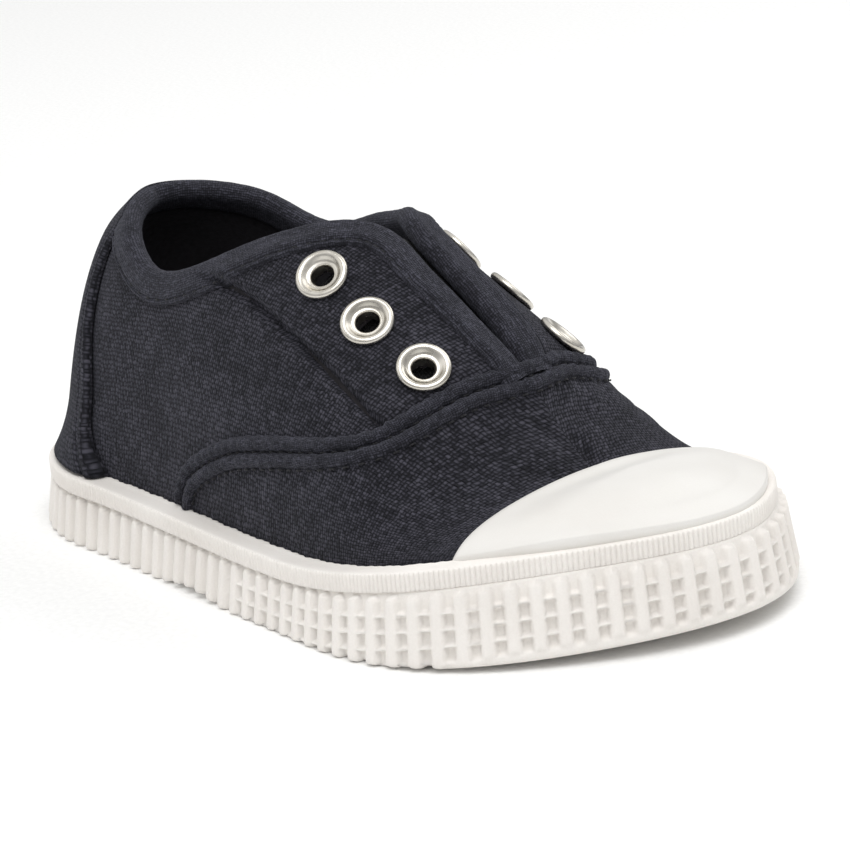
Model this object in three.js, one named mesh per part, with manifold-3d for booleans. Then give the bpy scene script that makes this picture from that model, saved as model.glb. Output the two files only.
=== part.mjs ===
import * as THREE from "three";
import { mergeVertices } from "three/addons/utils/BufferGeometryUtils.js";
import Module from "manifold-3d";

// A child's slip-on canvas shoe, the right one of a pair, in millimetres. The toe points along +X,
// the big-toe (medial) side along +Y and up is +Z. Shoe coordinates run from the back of the heel,
// x = 0, and the group at the end moves the origin to the floor under the middle of the shoe.

const wasm = await Module();
wasm.setup();

// ---- Driving dimensions ------------------------------------------------------------------

const LENGTH = 160; // of the last at the feather edge, back of the heel to tip of the toe
const BALL_WIDTH = 70; // of the last across the ball of the foot
const INSTEP_HEIGHT = 70; // of the last's ridge over the floor at its highest
const HEEL_ROUND = 28; // length of the rounded heel end
const TOE_ROUND = { lateral: 41, medial: 46 }; // length of the rounded toe end
const TOE_SWING = 5.3; // of the toe tip off the heel's line, towards the medial side
const RIDGE_START = 26; // of the ridge, ahead of the back of the heel
const RIDGE_END = 3; // of the ridge, behind the tip of the toe
const TOE_TUCK = 7; // how far the ridge's front end is drawn back over the toe

const GAP = 0.3; // between pieces that meet
const WALL = 1.8; // canvas, interlining and lining together
const SEAT = 9.6; // top of the ribbed wall over the floor, heel to waist
const TOE_LIFT = 6.6; // added to the wall's height towards the toe
const STRIP = 3.2; // height of the foxing strip
const LEDGE = 5; // how far the rubber stands out from the canvas
const TOE_PROUD = 1.5; // more of the same on the ribbed wall round the toe
const TOE_SPRING = 3.2;
const HEEL_SPRING = 2;
const WALL_SPLAY = 1.8; // how much wider the ribbed wall is at the floor than at its top
const ARCH = 1.2; // clearance under the waist

const RIB = { pitch: 4.8, depth: 1.3, top: 0.42, foot: 0.54, gap: 0.88 }; // shares of the pitch
const SOLE_CHAMFER = 1;
const LUG = { pitch: 8, groove: 2.2, depth: 1.5, margin: 10 };
const LUG_FIELDS = [[22, 50], [84, 112]]; // ends of the heel's and the ball's grooved fields, x

const CAP = { gap: 0.4, thickness: 0.9, foot: 0.04, edge: { feather: 0.848, ridge: 0.818 } };
const GUSSET = { gap: 0.6, thickness: 1, start: 0.5, end: 0.77, foot: 0.86 };
const INSOLE = { thickness: 2.4, clearance: 1 };
const EYELET = { radius: 4.8, bore: 2.2, barrel: 2.6, dome: 1.1, roll: 3.7, rollHeight: 0.7, lift: 0.55, under: 1 };
const EYELET_HOLE = 2.95;
const EYELETS = {
  at: [0.514, 0.593, 0.672],
  way: { lateral: [0.688, 0.688, 0.724], medial: [0.605, 0.592, 0.61] },
};

// Half widths as shares of the ball's width, along the length.
const WIDTHS = {
  at: [0, 0.18, 0.4, 0.58, 0.74, 0.88, 1],
  lateral: [0.36, 0.375, 0.44, 0.51, 0.57, 0.55, 0.445],
  medial: [0.36, 0.375, 0.385, 0.415, 0.445, 0.425, 0.365],
};

// The ridge's height as a share of the instep's, and the shape of the section under it: rise is
// how steeply the side leaves the feather edge, crest how broad the top is, flare how far the
// side swells past the edge.
const RIDGE = {
  at: [0, 0.2, 0.42, 0.55, 0.68, 0.82, 0.92, 1],
  height: [0.89, 1, 0.975, 0.82, 0.62, 0.33, 0.335, 0.34],
  rise: [0.45, 0.49, 0.56, 0.6, 0.58, 0.54, 0.58, 0.62],
  crest: [0.65, 0.72, 0.52, 0.5, 0.52, 0.53, 0.6, 0.62],
  flare: [-0.2, -0.07, 0.01, 0.02, 0, -0.05, -0.07, -0.08],
  hollow: [0, 0, 0.04, 0.13, 0.13, 0.03, 0, 0], // taken off the crest on the medial side
};

// The collar and the slit of the throat: how far up the section the canvas goes.
const OPENING = {
  at: [0, 0.12, 0.26, 0.36, 0.43, 0.49, 0.58, 0.66, 0.72],
  lateral: [0.88, 0.67, 0.5, 0.57, 0.72, 0.93, 0.965, 0.978, 1],
  medial: [0.88, 0.67, 0.5, 0.56, 0.66, 0.855, 0.925, 0.955, 1],
};

const COLUMNS = 36; // of the upper, on each side
const ROWS = 10; // of the upper, feather edge to opening

const COLOUR = {
  canvas: "#2d2d33",
  elastic: "#17161a",
  lining: "#1c1b1f",
  rubber: "#e8e4dc",
  cap: "#f2efe9",
  nickel: "#bdb9b0",
};

// ---- Curves ------------------------------------------------------------------------------

/** A smooth curve through one column of a table. */
function curve(at, values) {
  const step = (i) => (values[i + 1] - values[i]) / (at[i + 1] - at[i]);
  const last = at.length - 1;
  const slopes = values.map((value, i) => {
    if (i === 0) return step(0);
    if (i === last) return step(last - 1);
    const before = at[i] - at[i - 1];
    const after = at[i + 1] - at[i];
    return (before * step(i) + after * step(i - 1)) / (before + after);
  });
  return (x) => {
    const clamped = THREE.MathUtils.clamp(x, at[0], at[last]);
    const i = Math.min(at.findLastIndex((edge) => edge <= clamped), last - 1);
    const span = at[i + 1] - at[i];
    const s = (clamped - at[i]) / span;
    const ease = s * s * (3 - 2 * s);
    return values[i] + (values[i + 1] - values[i]) * ease
      + span * s * (1 - s) * ((1 - s) * slopes[i] - s * slopes[i + 1]);
  };
}

const lateralWidth = curve(WIDTHS.at, WIDTHS.lateral);
const medialWidth = curve(WIDTHS.at, WIDTHS.medial);
const ridgeHeight = curve(RIDGE.at, RIDGE.height);
const sectionRise = curve(RIDGE.at, RIDGE.rise);
const sectionCrest = curve(RIDGE.at, RIDGE.crest);
const sectionFlare = curve(RIDGE.at, RIDGE.flare);
const sectionHollow = curve(RIDGE.at, RIDGE.hollow);
const lateralOpening = curve(OPENING.at, OPENING.lateral);
const medialOpening = curve(OPENING.at, OPENING.medial);
const { clamp, smoothstep } = THREE.MathUtils;

/** Share of the length at a place on the ring, 0 at the heel, 1 at the toe. */
const shareAt = (place) => (1 - Math.cos(Math.PI * place)) / 2;
const placeAt = (share) => Math.acos(1 - 2 * share) / Math.PI;

const centreLine = (share) => TOE_SWING * smoothstep(share, 0.45, 1);
const seatHeight = (share) => SEAT + TOE_LIFT * smoothstep(share, 0.6, 1);
const featherHeight = (share) => seatHeight(share) + STRIP;
const toeProud = (share) => TOE_PROUD * smoothstep(share, 0.6, 0.9);

/** Underside of the sole: flat at the heel and the ball, sprung at both ends and arched between. */
function undersideHeight(share) {
  const toe = TOE_SPRING * clamp((share - 0.7) / 0.3, 0, 1) ** 2;
  const heel = HEEL_SPRING * clamp((0.12 - share) / 0.12, 0, 1) ** 2;
  const arch = ARCH * Math.sin(Math.PI * clamp((share - 0.34) / 0.18, 0, 1)) ** 2;
  return toe + heel + arch;
}

/** The last's half width at a share of its length, rounded off at both ends. */
function halfWidth(share, side) {
  const table = side < 0 ? lateralWidth : medialWidth;
  const heelEnd = HEEL_ROUND / LENGTH;
  const toeEnd = (side < 0 ? TOE_ROUND.lateral : TOE_ROUND.medial) / LENGTH;
  const heel = clamp((heelEnd - share) / heelEnd, 0, 1);
  const toe = clamp((share - 1 + toeEnd) / toeEnd, 0, 1);
  return BALL_WIDTH * table(share) * Math.sqrt((1 - heel * heel) * (1 - toe * toe));
}

// A ring place runs 0 to 1 along the lateral side, heel to toe, and on to 2 along the medial side.

/** Splits a ring place into its side, -1 lateral and +1 medial, and its place along that side. */
function splitRing(ring) {
  const wrapped = THREE.MathUtils.euclideanModulo(ring, 2);
  return wrapped <= 1 ? { side: -1, place: wrapped } : { side: 1, place: 2 - wrapped };
}

function outlineAt(ring) {
  const { side, place } = splitRing(ring);
  const share = shareAt(place);
  return new THREE.Vector2(LENGTH * share, centreLine(share) + side * halfWidth(share, side));
}

/** The last's outline in plan at a ring place, moved outwards by a distance. */
function outline(ring, out) {
  const step = 1e-3;
  const along = outlineAt(ring + step).sub(outlineAt(ring - step)).normalize();
  return outlineAt(ring).add(new THREE.Vector2(along.y, -along.x).multiplyScalar(out));
}

/** The outer surface of the upper: way 0 is the feather edge and way 1 the ridge. */
function last(ring, way) {
  const { side, place } = splitRing(ring);
  const share = shareAt(place);
  const edge = outlineAt(ring);
  const ridgeX = RIDGE_START + (LENGTH - RIDGE_END - RIDGE_START) * share
    - TOE_TUCK * smoothstep(share, 0.8, 1);
  const ridgeY = 0.9 * centreLine(share);
  const rest = 1 - way;
  const crest = sectionCrest(share) - (side > 0 ? sectionHollow(share) : 0);
  const out = rest ** 3 + 3 * rest ** 2 * way * (1 + sectionFlare(share))
    + 3 * rest * way ** 2 * crest;
  const up = 3 * rest ** 2 * way * sectionRise(share) + 3 * rest * way ** 2 + way ** 3;
  return new THREE.Vector3(
    ridgeX + (edge.x - ridgeX) * out,
    ridgeY + (edge.y - ridgeY) * out,
    THREE.MathUtils.lerp(featherHeight(share), INSTEP_HEIGHT * ridgeHeight(share), up),
  );
}

// ---- Meshes ------------------------------------------------------------------------------

function meshGeometry(points, faces) {
  const geometry = new THREE.BufferGeometry();
  geometry.setAttribute("position", new THREE.Float32BufferAttribute(points.flatMap((p) => [p.x, p.y, p.z]), 3));
  geometry.setIndex(faces.flat());
  return geometry;
}

/** Two triangles for each cell of a grid of vertex numbers, some of which may be shared. */
function gridFaces(grid) {
  const faces = [];
  for (let i = 0; i + 1 < grid.length; i += 1) {
    for (let j = 0; j + 1 < grid[i].length; j += 1) {
      const [a, b, c, d] = [grid[i][j], grid[i + 1][j], grid[i + 1][j + 1], grid[i][j + 1]];
      faces.push([a, b, c], [a, c, d]);
    }
  }
  return faces;
}

/** A closed wall between two offsets, low and high, of an open surface along its own normals. */
function shell(points, faces, low, high) {
  const geometry = meshGeometry(points, faces);
  geometry.computeVertexNormals();
  const normals = geometry.getAttribute("normal");
  const moved = (by) => points.map((point, i) =>
    new THREE.Vector3().fromBufferAttribute(normals, i).multiplyScalar(by).add(point));
  const count = points.length;
  const edges = new Set(faces.flatMap(([a, b, c]) => [`${a} ${b}`, `${b} ${c}`, `${c} ${a}`]));
  const rim = [...edges].map((edge) => edge.split(" ").map(Number))
    .filter(([a, b]) => !edges.has(`${b} ${a}`))
    .flatMap(([a, b]) => [[b, a, a + count], [b, a + count, b + count]]);
  const inner = faces.map(([a, b, c]) => [a + count, c + count, b + count]);
  return meshGeometry([...moved(high), ...moved(low)], [...faces, ...inner, ...rim]);
}

/** A closed ring through loops of points, the first joined to the last. */
function ringSolid(loops) {
  const size = loops[0].length;
  const grid = [...loops[0].keys(), 0].map((i) =>
    [...loops.keys(), 0].map((j) => j * size + i));
  return meshGeometry(loops.flat(), gridFaces(grid));
}

/** A closed slab: loops from the underside up, closed by rungs from the lateral to the medial side. */
function slabSolid(loops) {
  const size = loops[0].length;
  const half = size / 2;
  const wall = [...loops[0].keys(), 0].map((i) => loops.map((loop, j) => j * size + i));
  const rungs = (first) => Array.from({ length: half - 1 }, (unused, i) =>
    [first + i + 1, first + size - i - 1]);
  const cap = (first) => [
    [first, first + 1, first + size - 1],
    ...gridFaces(rungs(first)),
    [first + half - 1, first + half, first + half + 1],
  ];
  const top = cap((loops.length - 1) * size);
  const bottom = cap(0).map(([a, b, c]) => [a, c, b]);
  return meshGeometry(loops.flat(), [...gridFaces(wall), ...top, ...bottom]);
}

/** One loop of points round the last, at an offset and a height worked out at each ring place. */
function loopAt(rings, offset, height) {
  return rings.map((ring, i) => {
    const share = shareAt(splitRing(ring).place);
    const flat = outline(ring, offset(share, i));
    return new THREE.Vector3(flat.x, flat.y, height(share));
  });
}

const evenRings = Array.from({ length: 2 * COLUMNS }, (unused, i) => i / COLUMNS);

function solidOf(geometry) {
  const bare = geometry.clone();
  bare.deleteAttribute("normal");
  bare.deleteAttribute("uv");
  const merged = mergeVertices(bare, 1e-5);
  return new wasm.Manifold(new wasm.Mesh({
    numProp: 3,
    vertProperties: new Float32Array(merged.getAttribute("position").array),
    triVerts: new Uint32Array(merged.index.array),
  }));
}

function geometryOf(solid) {
  const mesh = solid.getMesh();
  const geometry = new THREE.BufferGeometry();
  geometry.setAttribute("position", new THREE.BufferAttribute(mesh.vertProperties, 3));
  geometry.setIndex(new THREE.BufferAttribute(mesh.triVerts, 1));
  return geometry;
}

const cut = (geometry, tools) =>
  geometryOf(tools.reduce((solid, tool) => solid.subtract(solidOf(tool)), solidOf(geometry)));

// ---- Sole --------------------------------------------------------------------------------

/** Ring places of the ribs' corners, evenly spaced along the wall, and how deep each lies. */
function ribPlaces() {
  const samples = 600;
  const walk = (side) => {
    const points = Array.from({ length: samples + 1 }, (unused, i) =>
      outline(side < 0 ? i / samples : 2 - i / samples, LEDGE));
    const lengths = [0];
    for (let i = 1; i <= samples; i += 1) lengths.push(lengths[i - 1] + points[i].distanceTo(points[i - 1]));
    return lengths;
  };
  const placeOf = (lengths, distance) => {
    const i = clamp(lengths.findIndex((length) => length >= distance), 1, samples);
    return (i - 1 + (distance - lengths[i - 1]) / (lengths[i] - lengths[i - 1])) / samples;
  };
  const sides = [-1, 1].map(walk);
  const ribs = Math.round(sides[0][samples] / RIB.pitch);
  const corners = [];
  for (let rib = 0; rib < ribs; rib += 1) {
    corners.push([rib, 0], [rib + RIB.top, 0], [rib + RIB.foot, RIB.depth], [rib + RIB.gap, RIB.depth]);
  }
  corners.push([ribs, 0]);
  const places = sides.map((lengths) =>
    corners.map(([at]) => placeOf(lengths, (at / ribs) * lengths[samples])));
  const depths = corners.map(([, depth]) => depth);
  return {
    rings: [...places[0], ...places[1].slice(1, -1).reverse().map((place) => 2 - place)],
    depths: [...depths, ...depths.slice(1, -1).reverse()],
  };
}

function outsoleGeometry() {
  const { rings, depths } = ribPlaces();
  const full = (share) => LEDGE + toeProud(share);
  const ribbed = (share, i) => full(share) - depths[i];
  const splayed = (share, i) => ribbed(share, i) + WALL_SPLAY;
  const lifted = (share) => undersideHeight(share) + SOLE_CHAMFER;
  const body = slabSolid([
    loopAt(rings, (share) => full(share) + WALL_SPLAY - RIB.depth - SOLE_CHAMFER, undersideHeight),
    loopAt(rings, splayed, lifted),
    loopAt(rings, ribbed, seatHeight),
  ]);
  const grooves = LUG_FIELDS.flatMap(([start, end]) => {
    const count = Math.round((end - start) / LUG.pitch) + 1;
    return Array.from({ length: count }, (unused, i) => {
      const x = start + i * LUG.pitch;
      const share = x / LENGTH;
      const low = centreLine(share) - halfWidth(share, -1) + LUG.margin - LEDGE;
      const high = centreLine(share) + halfWidth(share, 1) - LUG.margin + LEDGE;
      return new THREE.BoxGeometry(LUG.groove, high - low, 2 * LUG.depth).translate(x, (low + high) / 2, 0);
    });
  });
  return cut(body, grooves);
}

function stripGeometry() {
  const chamfer = 0.8;
  const level = (offset, height) => loopAt(evenRings, () => offset, height);
  return ringSolid([
    level(LEDGE, (share) => seatHeight(share) + GAP),
    level(LEDGE, (share) => featherHeight(share) - chamfer),
    level(LEDGE - chamfer, featherHeight),
    level(GAP, featherHeight),
    level(GAP, (share) => seatHeight(share) + GAP),
  ]);
}

function insoleGeometry() {
  const level = (rise) => loopAt(evenRings, () => -WALL - INSOLE.clearance, (share) => seatHeight(share) + rise);
  return slabSolid([level(GAP), level(GAP + INSOLE.thickness)]);
}

// ---- Upper -------------------------------------------------------------------------------

/** Adds a point to a list and gives its number. */
const numbered = (points, point) => points.push(point) - 1;

function upperGeometry() {
  const points = [];
  const grid = evenRings.map((ring, column) => {
    const { side, place } = splitRing(ring);
    const share = shareAt(place);
    const top = Math.min((side < 0 ? lateralOpening : medialOpening)(share), 1);
    const foot = loopAt([ring], () => 0, (at) => seatHeight(at) + GAP)[0];
    const numbers = [numbered(points, foot)];
    for (let row = 0; row < ROWS; row += 1) {
      const closed = top === 1 && row === ROWS - 1 && column > COLUMNS;
      numbers.push(closed ? -1 : numbered(points, last(ring, (top * row) / (ROWS - 1))));
    }
    return numbers;
  });
  grid.forEach((numbers, column) => {
    if (numbers[ROWS] < 0) numbers[ROWS] = grid[2 * COLUMNS - column][ROWS];
  });
  return shell(points, gridFaces([...grid, grid[0]]), -WALL, 0);
}

/** The direction straight out of the upper at a ring place and way. */
function outwards(ring, way) {
  const step = 1e-3;
  const along = last(ring + step, way).sub(last(ring - step, way));
  const up = last(ring, way + step).sub(last(ring, way - step));
  return along.cross(up).normalize();
}

const eyeletSeats = ["lateral", "medial"].flatMap((side) =>
  EYELETS.at.map((share, i) => {
    const place = placeAt(share);
    const ring = side === "lateral" ? place : 2 - place;
    const way = EYELETS.way[side][i];
    const axis = outwards(ring, way);
    return {
      name: `eyelet_${side}_${i + 1}`,
      point: last(ring, way),
      turn: new THREE.Quaternion().setFromUnitVectors(new THREE.Vector3(0, 1, 0), axis),
    };
  }));

const eyeletHoles = eyeletSeats.map(({ point, turn }) =>
  new THREE.CylinderGeometry(EYELET_HOLE, EYELET_HOLE, 6 * WALL, 16)
    .applyQuaternion(turn).translate(point.x, point.y, point.z));

/** A funnel flange on the outside, a barrel through the cloth and a rolled edge inside. */
function eyeletGeometry() {
  const { radius, bore, barrel, dome, roll, rollHeight, lift, under } = EYELET;
  const inside = -WALL - under;
  const profile = [
    [barrel, lift], [radius, lift], [radius - 0.2, lift + 0.55 * dome], [radius - 1, lift + dome],
    [bore + 0.9, lift + 0.9 * dome], [bore, lift - 0.1], [bore, inside - rollHeight],
    [roll, inside - rollHeight], [roll, inside], [barrel, inside], [barrel, lift],
  ];
  return new THREE.LatheGeometry(profile.map(([x, y]) => new THREE.Vector2(x, y)), 18);
}

function gussetGeometry() {
  const points = [];
  const across = 8;
  const along = 12;
  const grid = Array.from({ length: along + 1 }, (unused, i) => {
    const place = placeAt(THREE.MathUtils.lerp(GUSSET.start, GUSSET.end, i / along));
    return Array.from({ length: across + 1 }, (unusedToo, j) => {
      const side = (2 * j) / across - 1;
      const way = 1 - Math.abs(side) * (1 - GUSSET.foot);
      return numbered(points, last(side < 0 ? place : 2 - place, way));
    });
  });
  const face = -WALL - GUSSET.gap;
  return shell(points, gridFaces(grid), face - GUSSET.thickness, face);
}

/** The rubber cap over the toe, cut between two larger forms of the upper. */
function capGeometry() {
  const points = [];
  const half = 14;
  const rows = 9;
  const grid = Array.from({ length: 2 * half + 1 }, (unused, column) =>
    Array.from({ length: rows + 1 }, (unusedToo, row) => {
      const way = THREE.MathUtils.lerp(CAP.foot, 1, row / rows);
      const start = placeAt(THREE.MathUtils.lerp(CAP.edge.feather, CAP.edge.ridge, smoothstep(way, 0, 1)));
      const place = THREE.MathUtils.lerp(start, 1, 1 - Math.abs(column / half - 1));
      if (row === rows && column > half) return -1;
      return numbered(points, last(column <= half ? place : 2 - place, way));
    }));
  grid.forEach((numbers, column) => {
    if (numbers[rows] < 0) numbers[rows] = grid[2 * half - column][rows];
  });
  return shell(points, gridFaces(grid), CAP.gap, CAP.gap + CAP.thickness);
}

// ---- The shoe ----------------------------------------------------------------------------

const cloth = (color) => new THREE.MeshStandardMaterial({ color, roughness: 0.95, metalness: 0 });
const rubber = (color) => new THREE.MeshStandardMaterial({ color, roughness: 0.7, metalness: 0 });
const nickel = () => new THREE.MeshStandardMaterial({ color: COLOUR.nickel, roughness: 0.3, metalness: 1 });

const shoe = new THREE.Group();

function addPiece(name, geometry, material) {
  const mesh = new THREE.Mesh(geometry, material);
  mesh.name = name;
  shoe.add(mesh);
  return mesh;
}

addPiece("outsole", outsoleGeometry(), rubber(COLOUR.rubber));
addPiece("foxing_strip", stripGeometry(), rubber(COLOUR.rubber));
addPiece("toe_cap", capGeometry(), rubber(COLOUR.cap));
addPiece("upper", cut(upperGeometry(), eyeletHoles), cloth(COLOUR.canvas));
addPiece("gusset", gussetGeometry(), cloth(COLOUR.elastic));
addPiece("insole", insoleGeometry(), cloth(COLOUR.lining));
for (const { name, point, turn } of eyeletSeats) {
  const eyelet = addPiece(name, eyeletGeometry(), nickel());
  eyelet.position.copy(point);
  eyelet.quaternion.copy(turn);
}

const box = new THREE.Box3().setFromObject(shoe);
const middle = box.getCenter(new THREE.Vector3());
shoe.position.set(-middle.x, -middle.y, -box.min.z);

const group = new THREE.Group();
group.add(shoe);

export default group;
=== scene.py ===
import math

import bpy
import numpy as np
from mathutils import Matrix, Vector


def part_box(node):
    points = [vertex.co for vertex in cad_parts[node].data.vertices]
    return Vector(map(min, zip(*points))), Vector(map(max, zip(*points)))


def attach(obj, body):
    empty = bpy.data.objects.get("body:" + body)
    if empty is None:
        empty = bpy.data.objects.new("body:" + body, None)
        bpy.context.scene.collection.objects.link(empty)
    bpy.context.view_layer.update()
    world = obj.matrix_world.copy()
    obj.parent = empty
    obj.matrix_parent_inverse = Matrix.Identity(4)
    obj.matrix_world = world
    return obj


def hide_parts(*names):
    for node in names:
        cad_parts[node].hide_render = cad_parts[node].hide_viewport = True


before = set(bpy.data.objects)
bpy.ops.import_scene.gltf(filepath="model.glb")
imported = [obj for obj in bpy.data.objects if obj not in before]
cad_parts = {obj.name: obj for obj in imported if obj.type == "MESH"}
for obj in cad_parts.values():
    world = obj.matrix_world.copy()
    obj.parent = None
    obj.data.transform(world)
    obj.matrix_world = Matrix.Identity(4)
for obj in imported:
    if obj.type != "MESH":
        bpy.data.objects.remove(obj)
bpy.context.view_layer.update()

bl_info = {
    "name": "Canvas Slip-on Builder",
    "version": (1, 0, 0),
    "blender": (4, 5, 0),
    "location": "3D View > Sidebar > Slip-on",
    "description": "Builds a child's canvas slip-on with a ribbed rubber sole around its packed model",
    "category": "Object",
}

# Shapes are worked out in millimetres in shoe coordinates: x runs from the back of the heel to
# the toe, y to the medial side, z up from the floor. A ring place runs 0 to 1 along the lateral
# side, heel to toe, and on to 2 back along the medial side. A way runs up the upper, 0 at the
# feather edge and 1 at the ridge.

MM = 0.001
BODY = "root"
WELD = 0.02  # distance under which a grid's points are one, where it closes at an end

LENGTH = 160.0  # of the last at the feather edge
BALL_WIDTH = 70.0
INSTEP_HEIGHT = 70.0
HEEL_ROUND = 28.0  # length of the rounded heel end
TOE_ROUND = {"lateral": 41.0, "medial": 46.0}
TOE_SWING = 5.3  # of the toe towards the medial side
RIDGE_START = 26.0  # of the upper's ridge, ahead of the heel
RIDGE_END = 3.0  # of the ridge, behind the toe
TOE_TUCK = 7.0  # how far the ridge's front end is drawn back
SEAT = 9.6  # height of the sole's top
TOE_LIFT = 6.6  # by which that top rises to the toe
STRIP = 3.2  # height of the foxing strip
LEDGE = 5.0  # of the sole beyond the last
TOE_PROUD = 1.5  # of the wall beyond the ledge at the toe
TOE_SPRING = 3.2
HEEL_SPRING = 2.0
WALL_SPLAY = 1.8  # of the wall's foot beyond its top
ARCH = 1.2

# Half widths by the share of the length, as shares of the ball's width.
WIDTH_AT = (0, 0.18, 0.4, 0.58, 0.74, 0.88, 1)
WIDTH_LATERAL = (0.36, 0.375, 0.44, 0.51, 0.57, 0.55, 0.445)
WIDTH_MEDIAL = (0.36, 0.375, 0.385, 0.415, 0.445, 0.425, 0.365)
# The ridge's height as a share of the instep's, and the shape of the section under it: how
# steeply it rises from the feather edge, how full its crest and its foot are, and what the
# medial side's crest lacks.
RIDGE_AT = (0, 0.2, 0.42, 0.55, 0.68, 0.82, 0.92, 1)
RIDGE_HEIGHT = (0.89, 1, 0.975, 0.82, 0.62, 0.33, 0.335, 0.34)
SECTION_RISE = (0.45, 0.49, 0.56, 0.6, 0.58, 0.54, 0.58, 0.62)
SECTION_CREST = (0.65, 0.72, 0.52, 0.5, 0.52, 0.53, 0.6, 0.62)
SECTION_FLARE = (-0.2, -0.07, 0.01, 0.02, 0, -0.05, -0.07, -0.08)
SECTION_HOLLOW = (0, 0, 0.04, 0.13, 0.13, 0.03, 0, 0)
# The way up the upper at which the collar and the slit lie.
OPENING_AT = (0, 0.12, 0.26, 0.36, 0.43, 0.49, 0.58, 0.66, 0.72)
OPENING_LATERAL = (0.88, 0.67, 0.5, 0.57, 0.72, 0.93, 0.965, 0.978, 1)
OPENING_MEDIAL = (0.88, 0.67, 0.5, 0.56, 0.66, 0.855, 0.925, 0.955, 1)
SLIT_END = 0.72
# Share of the length and way up of each eyelet.
EYELETS = {
    "lateral": ((0.514, 0.688), (0.593, 0.688), (0.672, 0.724)),
    "medial": ((0.514, 0.605), (0.593, 0.592), (0.672, 0.61)),
}
SIDES = ("lateral", "medial")

# The vamp seam's middle, as shares of the length at ways up the upper.
SEAM_WAY = (0, 0.075, 0.123, 0.163, 0.213, 0.281, 0.365, 0.45, 0.54, 0.64, 0.79, 0.92, 1)
SEAM_SHARE = (
    0.365, 0.395, 0.442, 0.486, 0.55, 0.616, 0.666, 0.692, 0.704, 0.709, 0.712, 0.716, 0.717)
SEAM_HALF = 3.0
CORD_PLACE = 1.45  # of each of the seam's two cords, from its middle
CORD_HALF = 1.4
CORD_HEIGHT = 1.75
# The heel panel's front edge in the same terms.
HEEL_WAY = (0, 0.05, 0.12, 0.3, 0.5, 0.9)
HEEL_SHARE = (0.19, 0.168, 0.152, 0.147, 0.122, 0.1)
HEEL_PANEL_HALF = 44.0  # its cloth, from the back's middle to the front edge
HEEL_FLARE = 2.2  # of its foot over the sole
HEEL_CORD = 1.0  # height of the rolled cord along its edges
HEEL_CLOTH = 0.8
# The rear edge of the toe cap, at the feather edge and on the ridge.
CAP_FEATHER = 0.848
CAP_RIDGE = 0.818
CAP_FLARE = 2.8  # of the cap's foot over the ledge
CAP = 1.0  # thickness
CAP_BED = 0.15  # between the canvas and the cap's rear edge
CAP_RISE = 1.15  # of that edge
CAP_EDGE = 0.9  # width of its rounding
CAP_SPAN = 60.0  # length of the toe's outline for one unit of place, about
CAP_SINK = 1.2  # of the cap's foot into the ledge
FOOT_GAP = 0.4  # between the upper's foot and the sole's top
BINDING_INSET = 1.5  # of the binding's roll from the cut edge
ROLL_RADIUS = 2.05
CORNER_ROUND = 2.7
GUSSET_REACH = 0.4  # down each side, as a share of the way
GUSSET_DEPTH = 3.6
GUSSET_HALF = 34  # its cloth, from the middle to an edge
ELASTIC = 0.7
STITCH_PITCH = 2.6
STITCH_LENGTH = 1.5
THREAD_RADIUS = 0.19
# Thicknesses of the sheets, the holes cut for an eyelet and what the cloth's relief comes to.
CANVAS = 0.9
PRESSED = 0.5  # depth of the canvas under the binding
CANVAS_HOLE = 3.2
LINING = 0.5
LINING_DEPTH = 1.35
LINING_HOLE = 3.4
PANEL_STEP = 1.0
VALLEY = 1.5
PUCKER = 0.16
SAG = 0.35
CREASE = 0.55
SECOND_CREASE = 0.4
UNEVENNESS = 0.2


# ---- The last ----------------------------------------------------------------------------

def curve(at, values, x):
    """A smooth curve through a table: on each span, the cubic with the tangents of the
    parabolas through three neighbouring points."""
    at, values = np.asarray(at, float), np.asarray(values, float)
    slopes = np.gradient(values, at)
    x = np.clip(x, at[0], at[-1])
    i = np.clip(np.searchsorted(at, x, side="right") - 1, 0, len(at) - 2)
    span = at[i + 1] - at[i]
    s = (x - at[i]) / span
    ease = s * s * (3 - 2 * s)
    bend = span * s * (1 - s) * ((1 - s) * slopes[i] - s * slopes[i + 1])
    return values[i] + (values[i + 1] - values[i]) * ease + bend


def by_side(side, at, lateral, medial, x):
    """The curve through the lateral or the medial table, by the sign of side."""
    return np.where(np.asarray(side) < 0, curve(at, lateral, x), curve(at, medial, x))


def smoothstep(x, low, high):
    """0 below low, 1 above high and 3s^2 - 2s^3 between."""
    s = np.clip((x - low) / (high - low), 0, 1)
    return s * s * (3 - 2 * s)


def bump(x, half):
    """1 at x = 0, falling to 0 at x = +-half: (1 - (x / half)^2)^2."""
    return np.clip(1 - (x / half) ** 2, 0, 1) ** 2


def quarter_round(distance, radius):
    """How far a rounded edge falls back, as a share of its radius, at a distance from its end:
    1 - (1 - s^2)^(1/2), where s = 1 - distance / radius."""
    return 1 - np.sqrt(1 - np.clip(1 - distance / radius, 0, 1) ** 2)


def share_at(place):
    """The share of the length at a place: (1 - cos(pi place)) / 2, close together at the ends."""
    return (1 - np.cos(np.pi * place)) / 2


def place_at(share):
    return np.arccos(1 - 2 * np.clip(share, 0, 1)) / np.pi


def split_ring(ring):
    """A ring place's side, -1 lateral and +1 medial, and its place along that side."""
    ring = np.mod(ring, 2)
    return np.where(ring <= 1, -1.0, 1.0), np.where(ring <= 1, ring, 2 - ring)


def ring_share(ring):
    """The share of the length at a ring place."""
    return share_at(split_ring(ring)[1])


def ring_of(share, side):
    """The ring place at a share of the length on a side."""
    place = place_at(share)
    return np.where(np.asarray(side) < 0, place, 2 - place)


def centre_line(share):
    """How far the middle of the shoe swings to the medial side, by a smoothstep from the ball."""
    return TOE_SWING * smoothstep(share, 0.45, 1)


def seat_height(share):
    """Height of the sole's top: level, then a smoothstep up to the toe."""
    return SEAT + TOE_LIFT * smoothstep(share, 0.6, 1)


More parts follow.
